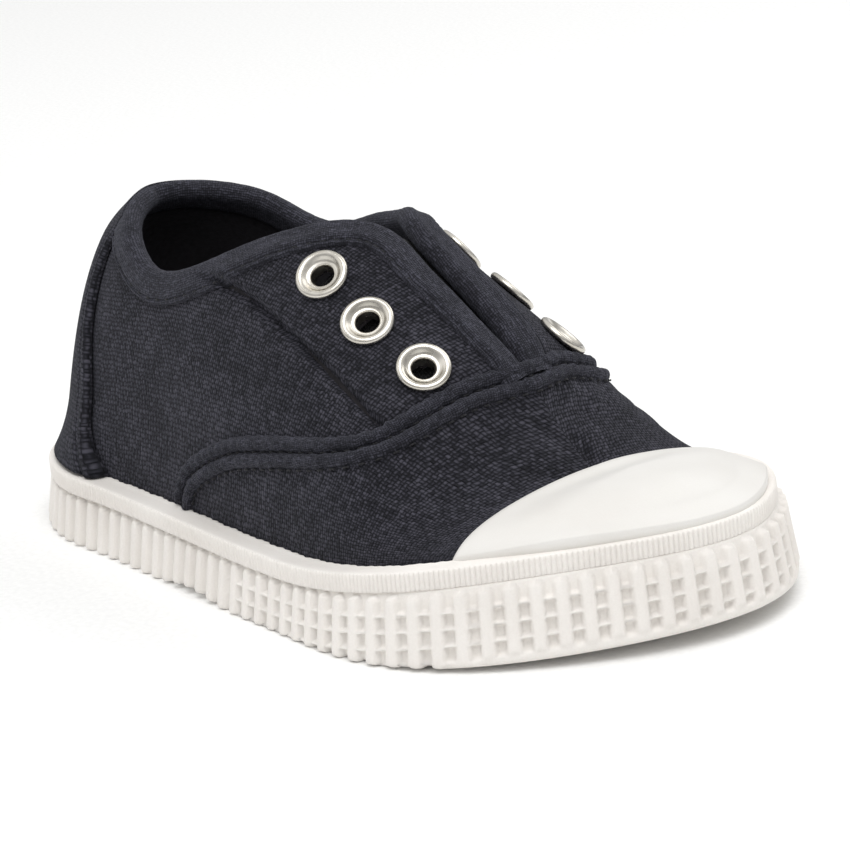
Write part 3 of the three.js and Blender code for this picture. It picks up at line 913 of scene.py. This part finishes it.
class SlipOnGusset(bpy.types.Operator):
    """Make the elastic gusset under the slit and the facings"""

    bl_idname = "slipon.gusset"
    bl_label = "Elastic gusset"

    def execute(self, context):
        share, spread = np.linspace(0.5, 0.76, 60), np.linspace(-1, 1, 91)
        ring = ring_of(share[:, None], np.where(spread < 0, -1, 1)[None, :])
        way = np.minimum(1 - GUSSET_REACH * np.abs(spread), 0.999)[None, :]
        points = on_last(*np.broadcast_arrays(ring, way), -GUSSET_DEPTH)
        uv = np.stack(np.meshgrid(share * LENGTH, spread * GUSSET_HALF, indexing="ij"), -1)
        faces = grid_faces(*points.shape[:2])
        piece = new_piece("elastic_gusset", points, faces, material_for("elastic"), uv)
        thicken(piece, ELASTIC)
        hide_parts("gusset")
        return {"FINISHED"}


def turned(profile, segments):
    """A profile of (radius, height) turned about the height axis: x = r cos a, y = r sin a."""
    angles = np.arange(segments) / segments * 2 * np.pi
    radius, height = np.asarray(profile, float).T
    return np.stack([
        radius[None, :] * np.cos(angles)[:, None],
        radius[None, :] * np.sin(angles)[:, None],
        np.broadcast_to(height[None, :], (segments, len(height))),
    ], -1)


EYELET_PROFILE = (
    (2.6, -0.1), (4.3, -0.05), (4.62, 0.05), (4.8, 0.35), (4.82, 0.7), (4.7, 1.0), (4.45, 1.2),
    (4.1, 1.28), (3.75, 1.2), (3.45, 0.98), (3.15, 0.68), (2.85, 0.42), (2.6, 0.32), (2.42, 0.36),
    (2.25, 0.3), (2.12, 0.05), (2.05, -0.5), (2.05, -2.3), (2.35, -2.8), (2.8, -3.0), (3.3, -2.85),
    (3.4, -2.6), (3.1, -2.5), (2.6, -2.45),
)


class SlipOnEyelets(bpy.types.Operator):
    """Make the six funnel eyelets, one for each packed one"""

    bl_idname = "slipon.eyelets"
    bl_label = "Eyelets"

    def execute(self, context):
        shape = turned(EYELET_PROFILE, 56)
        faces = grid_faces(*shape.shape[:2], around=True, across=True)
        for name, point, axis in eyelet_seats():
            turn = Vector((0, 0, 1)).rotation_difference(Vector(axis)).to_matrix()
            points = shape.reshape(-1, 3) @ np.array(turn).T + point
            piece = new_piece(f"{name}_plated", points, faces, material_for("nickel"))
            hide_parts(name)
        return {"FINISHED"}


def stitch_row(name, centres, normals, alongs):
    """A row of stitches: each a six-sided spindle, r(t) = radius (1 - t^4)^(1/2), laid along the
    seam and bowed so that its ends go into the cloth."""
    sides = 6
    t = np.linspace(-1, 1, sides)
    angles = np.arange(sides) / sides * 2 * np.pi
    girth = THREAD_RADIUS * np.sqrt(np.clip(1 - t**4, 0, 1)) + 1e-3
    side = np.cross(normals, alongs)
    bow = THREAD_RADIUS * (1.3 * (1 - t**2) - 0.6) - 0.05
    spine = (centres[:, None] + alongs[:, None] * (t * STITCH_LENGTH / 2)[None, :, None]
             + normals[:, None] * bow[None, :, None])
    ring = (normals[:, None, None] * (girth[:, None] * np.sin(angles)[None, :])[None, ..., None]
            + side[:, None, None] * (girth[:, None] * np.cos(angles)[None, :])[None, ..., None])
    points = spine[:, :, None] + ring
    one = grid_faces(sides, sides, across=True)
    step = np.arange(len(centres)) * sides**2
    faces = (one[None] + step[:, None, None]).reshape(-1, 4)
    return new_piece(name, points, faces, material_for("thread"), flip=True)


class SlipOnStitches(bpy.types.Operator):
    """Sew the rows of stitches: along both grooves of the vamp seam and round the binding"""

    bl_idname = "slipon.stitches"
    bl_label = "Stitches"

    def execute(self, context):
        ring, way, _ = seam_path(STITCH_PITCH)
        left = unit(np.cross(outwards(ring, way), unit(np.gradient(last(ring, way), axis=0))))
        self.row("upper_seam_stitches", ring, way, 0 * left, 0.2, slice(1, -1))
        self.row("lower_seam_stitches", ring, way, -3.05 * left, 0.25, slice(1, -1))
        ring, way, _ = collar_path(STITCH_PITCH)
        side, place = split_ring(ring)
        # The medial facing is folded under, so that no stitches show on it.
        sewn = (side < 0) | (share_at(place) < 0.45)
        aside = 3.75 * into_cloth(ring, way)
        self.row("binding_stitches", ring, way, aside, 0.55, np.flatnonzero(sewn)[3:])
        return {"FINISHED"}

    @staticmethod
    def row(name, ring, way, aside, lift, keep):
        """Stitches beside a path, raised by a lift, of which only some are kept."""
        ring, way = land(last(ring, way) + aside, ring, way)
        normal = outwards(ring, way)
        centres = last(ring, way) + normal * (lift + np.maximum(relief(ring, way), 0))[:, None]
        stitch_row(name, centres[keep], normal[keep], unit(np.gradient(centres, axis=0))[keep])


class SlipOnToeCap(bpy.types.Operator):
    """Make the smooth rubber toe cap"""

    bl_idname = "slipon.toe_cap"
    bl_label = "Toe cap"

    def execute(self, context):
        half, rows = 90, 60
        way = np.linspace(0.0, 1, rows)
        start = place_at(CAP_FEATHER + (CAP_RIDGE - CAP_FEATHER) * smoothstep(way, 0, 1))
        spread = np.linspace(-1, 1, 2 * half + 1)
        ease = 1 - np.abs(spread)
        place = start[None, :] + (1 - start)[None, :] * ease[:, None]
        ring = np.where(spread[:, None] <= 0, place, 2 - place)
        ways = np.broadcast_to(way[None, :], ring.shape)
        distance = ease[:, None] * (1 - start)[None, :] * CAP_SPAN
        lift = CAP_BED + CAP_RISE * (1 - quarter_round(distance, CAP_EDGE))
        share = ring_share(ring)
        flare = CAP_FLARE * np.clip(1 - ways / 0.3, 0, 1) ** 2 * smoothstep(share, 0.86, 0.95)
        # Towards the ridge both sides rise in one direction, so that they meet without a fold.
        joined = smoothstep(ways, 0.6, 0.97)[..., None]
        rise = unit(outwards(ring, ways) * (1 - joined) + np.array([0.25, 0, 0.97]) * joined)
        points = last(ring, ways) + rise * (lift + flare)[..., None]
        # The foot goes on down into the ledge.
        foot = np.concatenate([points[:, :1, :2], feather_height(share[:, :1, None]) - CAP_SINK], 2)
        points = np.concatenate([foot, points], 1)
        faces = grid_faces(*points.shape[:2])
        piece = new_piece("toe_cap_rubber", points, faces, material_for("cap"), weld=WELD)
        thicken(piece, CAP)
        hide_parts("toe_cap")
        return {"FINISHED"}


# ---- Sole --------------------------------------------------------------------------------

def wall_ring(pitch, samples, even=1):
    """Ring places, distances and shares of the length round the sole's wall, where a pattern of
    about a pitch repeats a whole number of times, each time in a number of samples."""
    fine = np.linspace(0, 2, 4001)
    lengths = run_lengths(outline(fine, np.full(fine.shape, LEDGE)))
    count = even * int(round(lengths[-1] / pitch / even)) * samples
    at = np.arange(count) / count * lengths[-1]
    ring = np.interp(at, lengths, fine)
    return ring, at, ring_share(ring)


RIB_PITCH = 4.2
RIB_DEPTH = 1.5
RIB_END = 1.3  # height of a rib's round top
RIB_HALF = 0.61  # of a rib's width, as a share of half the pitch
RIB_MARGIN = 0.6  # smooth wall above the ribs
BAR_RISE = 2.8  # from one thin bar to the next
BAR_SHARE = 0.75  # of the ribs' depth
BAND = 2.0  # height of the smooth chamfer under the toe
CHAMFER = 0.45  # by which it lies back
LIP = 2.2  # width of the wall's flat top
GROOVE = 1.5


def rib_depth(phase, height, top, share):
    """How far the sole's wall lies behind its ribs. A rib is half round across, (1 - a^2)^(1/2)
    over its half width, and ends in a round top; in the front half, thin bars join the ribs."""
    across = np.abs(np.mod(phase, 1) - 0.5) * 2
    end = np.clip((height - (top - RIB_END - RIB_MARGIN)) / RIB_END, 0, 1)
    half = (RIB_HALF + 0.04 * smoothstep(share, 0.6, 0.85)) * np.sqrt(1 - end**2) + 1e-3
    inside = np.clip(1 - (across / half) ** 2, 0, 1)
    rib = np.where(across < half, inside**0.34, 0) * smoothstep(half, 0.0, 0.25)
    level = np.mod((top - 1.0 - height) / BAR_RISE, 1)
    low = smoothstep(top - height, 1.5, 2.0)
    bar = smoothstep(np.abs(level - 0.5), 0.365, 0.425) * smoothstep(share, 0.5, 0.54) * low
    return RIB_DEPTH * (1 - np.maximum(rib, BAR_SHARE * bar))


class SlipOnOutsole(bpy.types.Operator):
    """Make the moulded sole: ribbed wall with windows and bars, chamfered toe and grooved underside"""

    bl_idname = "slipon.outsole"
    bl_label = "Ribbed sole"

    def execute(self, context):
        samples = 12
        ring, _, share = wall_ring(RIB_PITCH, samples, even=2)
        count = len(ring)
        phase = np.arange(count)[:, None] / samples
        low, top = underside(share)[:, None], seat_height(share)[:, None]
        band = BAND * smoothstep(share, 0.82, 0.9)[:, None]
        steps = np.concatenate([[0, 0.035, 0.07], np.linspace(0.1, 1, 40)])
        height = low + (top - low) * steps
        full = (LEDGE + toe_proud(share))[:, None] + WALL_SPLAY * (1 - steps)
        ribbed = np.where(band > 0.4, smoothstep(height, low + band - 0.5, low + band + 0.5), 1.0)
        depth = rib_depth(phase, height, top, share[:, None]) * ribbed
        tuck = CHAMFER * band / BAND * (1 - ribbed)
        out = full - depth - tuck - quarter_round(height - low, 1.1)
        out = out - 0.25 * quarter_round(top - height, 0.35)
        wall = np.concatenate([outline(ring[:, None], out), height[..., None]], -1)
        # The seat's edge, under the strip.
        lip = np.concatenate([outline(ring, np.full(count, LEDGE - LIP)), top], 1)[:, None]
        wall = np.concatenate([wall, lip], 1)
        rows = wall.shape[1]
        # The underside and the seat run across from each sample to the one opposite.
        across = 36
        i = np.arange(count // 2 + 1)
        j = (count - i) % count
        left, right = wall[i, 0][:, None], wall[j, 0][:, None]
        t = np.linspace(0, 1, across)[None, :, None]
        floor = left * (1 - t) + right * t
        reach = np.minimum(*(np.abs(floor[..., 1] - edge[..., 1]) for edge in (left, right)))
        floor[..., 2] += GROOVE * self.grooves(floor[..., 0]) * smoothstep(reach, 8.0, 9.5)
        # The underside's own first and last columns are the wall's bottom row.
        base = floor[:, 1:-1].reshape(-1, 3)
        number = np.arange(count * rows).reshape(count, rows)
        middle = count * rows + np.arange(len(base)).reshape(len(i), across - 2)
        under = np.concatenate([number[i, :1], middle, number[j, :1]], 1)
        seat = np.stack([number[i, -1], number[j, -1]], 1)
        faces = [grid_faces(count, rows, around=True), quads(under)[:, ::-1], quads(seat)]
        points = np.concatenate([wall.reshape(-1, 3), base])
        piece = new_piece("ribbed_sole", points, np.concatenate(faces), material_for("sole"),
                          weld=0.001)
        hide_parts("outsole")
        return {"FINISHED"}

    @staticmethod
    def grooves(x):
        """1 in the cross grooves of the heel's and the ball's fields, 8 mm apart, and 0 between."""
        field = ((x > 20) & (x < 56)) | ((x > 80) & (x < 122))
        near = np.abs(np.mod(x - 18 + 2 * (x > 70), 8) - 4)
        return np.where(field, 1 - smoothstep(near, 0.9, 1.3), 0)


STRIP_LAP = 0.15  # over the wall
KNURL = 0.38
KNURL_PITCH = 0.9
# The strip's section: outwards from the wall, up as a share of the strip's height, and how much
# of the knurl it has there.
STRIP_PROFILE = (
    (-1.6, 0.0, 0), (-0.5, 0.0, 0), (-0.2, 0.02, 0), (-0.03, 0.06, 1), (0, 0.2, 1), (0, 0.5, 1),
    (0, 0.78, 1), (-0.02, 0.9, 1), (-0.12, 0.96, 0.8), (-0.35, 1.0, 0.2), (-0.7, 1.02, 0),
    (-1.5, 1.01, 0), (-2.5, 0.99, 0), (-3.4, 0.98, 0), (-4.1, 0.98, 0), (-4.6, 1.02, 0),
    (-4.9, 1.0, 0), (-5.0, 0.8, 0),
)


class SlipOnFoxingStrip(bpy.types.Operator):
    """Make the knurled foxing strip with its smooth sloped ledge"""

    bl_idname = "slipon.foxing_strip"
    bl_label = "Foxing strip"

    def execute(self, context):
        samples = 6
        ring, at, share = wall_ring(KNURL_PITCH, samples)
        low, top = seat_height(share) - STRIP_LAP, feather_height(share)
        knurl = KNURL * np.abs(np.sin(np.pi * np.arange(len(ring)) / samples)) ** 0.7
        out, up, rough = np.array(STRIP_PROFILE).T
        # The inner edge, glued to the cloth, wanders a little.
        wander = 0.2 * np.sin(at * 0.9) * np.sin(at * 0.23 + 1) + 0.12 * np.sin(at * 2.7)
        offset = (LEDGE + 0.1 + out - rough * (KNURL - knurl)[:, None]
                  + wander[:, None] * (out < -4.4))
        height = low[:, None] + (top - low)[:, None] * up
        points = np.concatenate([outline(ring[:, None], offset), height[..., None]], -1)
        faces = grid_faces(*points.shape[:2], around=True, across=True)
        piece = new_piece("knurled_strip", points, faces, material_for("sole"))
        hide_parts("foxing_strip")
        return {"FINISHED"}


class SlipOnInsole(bpy.types.Operator):
    """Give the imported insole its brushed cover"""

    bl_idname = "slipon.insole"
    bl_label = "Insole cover"

    def execute(self, context):
        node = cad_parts["insole"]
        node.data.materials.clear()
        node.data.materials.append(material_for("lining"))
        return {"FINISHED"}


# ---- Stage -------------------------------------------------------------------------------

FLOOR_HALF = 6.0  # metres
LOOK_AT = (80.0, 0.0, 30.0)  # millimetres, in shoe coordinates
SOFTBOXES = (  # name, place and size in metres, power as a share of the key light's
    ("key_softbox", (0.35, -0.25, 0.95), 0.7, 1.0),
    ("fill_softbox", (-0.75, -0.75, 0.7), 0.9, 0.3),
    ("back_softbox", (0.1, 0.95, 0.85), 0.8, 0.6),
)


class SlipOnStage(bpy.types.Operator):
    """Lay the floor, hang the lights and set the camera"""

    bl_idname = "slipon.stage"
    bl_label = "Stage"

    def execute(self, context):
        material, tree, principled = new_material("Pale seamless paper", Roughness=0.9)
        tooth = noise(tree, object_place(tree), 900.0, 2.0)
        paint(tree, principled, tooth, ((0.3, "#f4f4f3"), (0.7, "#fbfbfa")))
        mesh = bpy.data.meshes.new("floor")
        corners = [(x * FLOOR_HALF, y * FLOOR_HALF, 0) for x, y in ((-1, -1), (1, -1), (1, 1), (-1, 1))]
        mesh.from_pydata(corners, [], [(0, 1, 2, 3)])
        mesh.materials.append(material)
        floor = bpy.data.objects.new("floor", mesh)
        context.scene.collection.objects.link(floor)
        self.lights(context, context.scene.slip_on_stage)
        self.camera(context, context.scene.slip_on_stage)
        return {"FINISHED"}

    def lights(self, context, stage):
        """A world that brightens upwards, and three square lamps aimed at the shoe."""
        world = bpy.data.worlds.new("studio")
        world.use_nodes = True
        tree = world.node_tree
        background = tree.nodes["Background"]
        direction = add_node(tree, "ShaderNodeSeparateXYZ", inputs={
            0: add_node(tree, "ShaderNodeTexCoord").outputs["Generated"]})
        sky = ramp(tree, direction.outputs[2], ((0.0, "#a0a0a2"), (0.7, "#ffffff")))
        tree.links.new(sky, background.inputs["Color"])
        background.inputs["Strength"].default_value = stage.ambient
        context.scene.world = world
        context.scene.view_settings.view_transform = "Standard"
        for name, place, size, share in SOFTBOXES:
            light = bpy.data.lights.new(name, "AREA")
            light.shape = "SQUARE"
            light.size = size
            light.energy = share * stage.key
            lamp = bpy.data.objects.new(name, light)
            lamp.location = place
            lamp.rotation_euler = (-Vector(place)).to_track_quat("-Z", "Y").to_euler()
            context.scene.collection.objects.link(lamp)

    def camera(self, context, stage):
        """A camera on a sphere round the shoe, turned to aim a little beside its middle."""
        sin_a, cos_a = math.sin(stage.azimuth), math.cos(stage.azimuth)
        sin_e, cos_e = math.sin(stage.elevation), math.cos(stage.elevation)
        back = Vector((sin_a * cos_e, -cos_a * cos_e, sin_e))
        level = Vector((cos_a, sin_a, 0))
        up = back.cross(level)
        right = level * math.cos(stage.roll) + up * math.sin(stage.roll)
        top = -level * math.sin(stage.roll) + up * math.cos(stage.roll)
        middle = Vector(LOOK_AT + HOME) * MM
        eye = middle + back * stage.distance
        aim = middle + right * stage.aim_right - top * stage.aim_down
        facing = (eye - aim).normalized()
        right = (right - facing * right.dot(facing)).normalized()
        top = facing.cross(right)
        data = bpy.data.cameras.new("camera")
        data.sensor_width = 36
        data.lens = stage.lens
        camera = bpy.data.objects.new("camera", data)
        camera.matrix_world = Matrix((
            (right.x, top.x, facing.x, eye.x), (right.y, top.y, facing.y, eye.y),
            (right.z, top.z, facing.z, eye.z), (0, 0, 0, 1)))
        context.scene.collection.objects.link(camera)
        context.scene.camera = camera


def colour(name, text, default):
    return bpy.props.StringProperty(name=name, description=text, default=default)


def number(name, text, default, **kind):
    return bpy.props.FloatProperty(name=name, description=text, default=default, **kind)


class SlipOnLook(bpy.types.PropertyGroup):
    """Colours of the cloth and the rubber."""

    canvas: colour("Canvas", "Middle shade of the canvas", "#1c1c22")
    binding: colour("Binding", "Middle shade of the binding", "#222228")
    sole: colour("Sole", "Pale shade of the sole rubber", "#efebe6")
    cap: colour("Toe cap", "Pale shade of the cap rubber", "#e2e0dc")


class SlipOnStageSettings(bpy.types.PropertyGroup):
    """Camera and light settings."""

    azimuth: number("Azimuth", "Camera's direction round the shoe", math.radians(51.91), subtype="ANGLE")
    elevation: number(
        "Elevation", "Camera's height above the floor's plane", math.radians(15.48), subtype="ANGLE")
    roll: number("Roll", "Camera's turn about its own view", math.radians(-6.27), subtype="ANGLE")
    distance: number("Distance", "From the camera to the shoe", 0.7124, unit="LENGTH")
    aim_right: number("Aim right", "Aim beside the shoe's middle", 0.0086, unit="LENGTH")
    aim_down: number("Aim down", "Aim below the shoe's middle", 0.0062, unit="LENGTH")
    lens: number("Lens", "Focal length in millimetres", 168.0, unit="CAMERA")
    key: number("Key light", "Power of the largest light, in watts", 5.0, unit="POWER")
    ambient: number("Ambient", "Brightness of the surroundings", 0.8)


OPERATORS = (
    SlipOnOutsole, SlipOnFoxingStrip, SlipOnCanvas, SlipOnLining, SlipOnHeelPanel, SlipOnGusset,
    SlipOnBinding, SlipOnVampSeam, SlipOnStitches, SlipOnToeCap, SlipOnEyelets, SlipOnInsole,
    SlipOnStage,
)


class SlipOnPanel(bpy.types.Panel):
    """Lists the pieces and the settings."""

    bl_idname = "VIEW3D_PT_slip_on"
    bl_label = "Slip-on"
    bl_space_type = "VIEW_3D"
    bl_region_type = "UI"
    bl_category = "Slip-on"

    def draw(self, context):
        for group in (context.scene.slip_on_look, context.scene.slip_on_stage):
            for name in group.__annotations__:
                self.layout.prop(group, name)
        for operator in OPERATORS:
            self.layout.operator(operator.bl_idname)


CLASSES = (SlipOnLook, SlipOnStageSettings, *OPERATORS, SlipOnPanel)


def register():
    for each in CLASSES:
        bpy.utils.register_class(each)
    bpy.types.Scene.slip_on_look = bpy.props.PointerProperty(type=SlipOnLook)
    bpy.types.Scene.slip_on_stage = bpy.props.PointerProperty(type=SlipOnStageSettings)


def unregister():
    del bpy.types.Scene.slip_on_look
    del bpy.types.Scene.slip_on_stage
    for each in reversed(CLASSES):
        bpy.utils.unregister_class(each)


def main():
    register()
    for operator in OPERATORS:
        group, name = operator.bl_idname.split(".")
        getattr(getattr(bpy.ops, group), name)()
    bpy.context.view_layer.update()


if __name__ == "__main__":
    main()
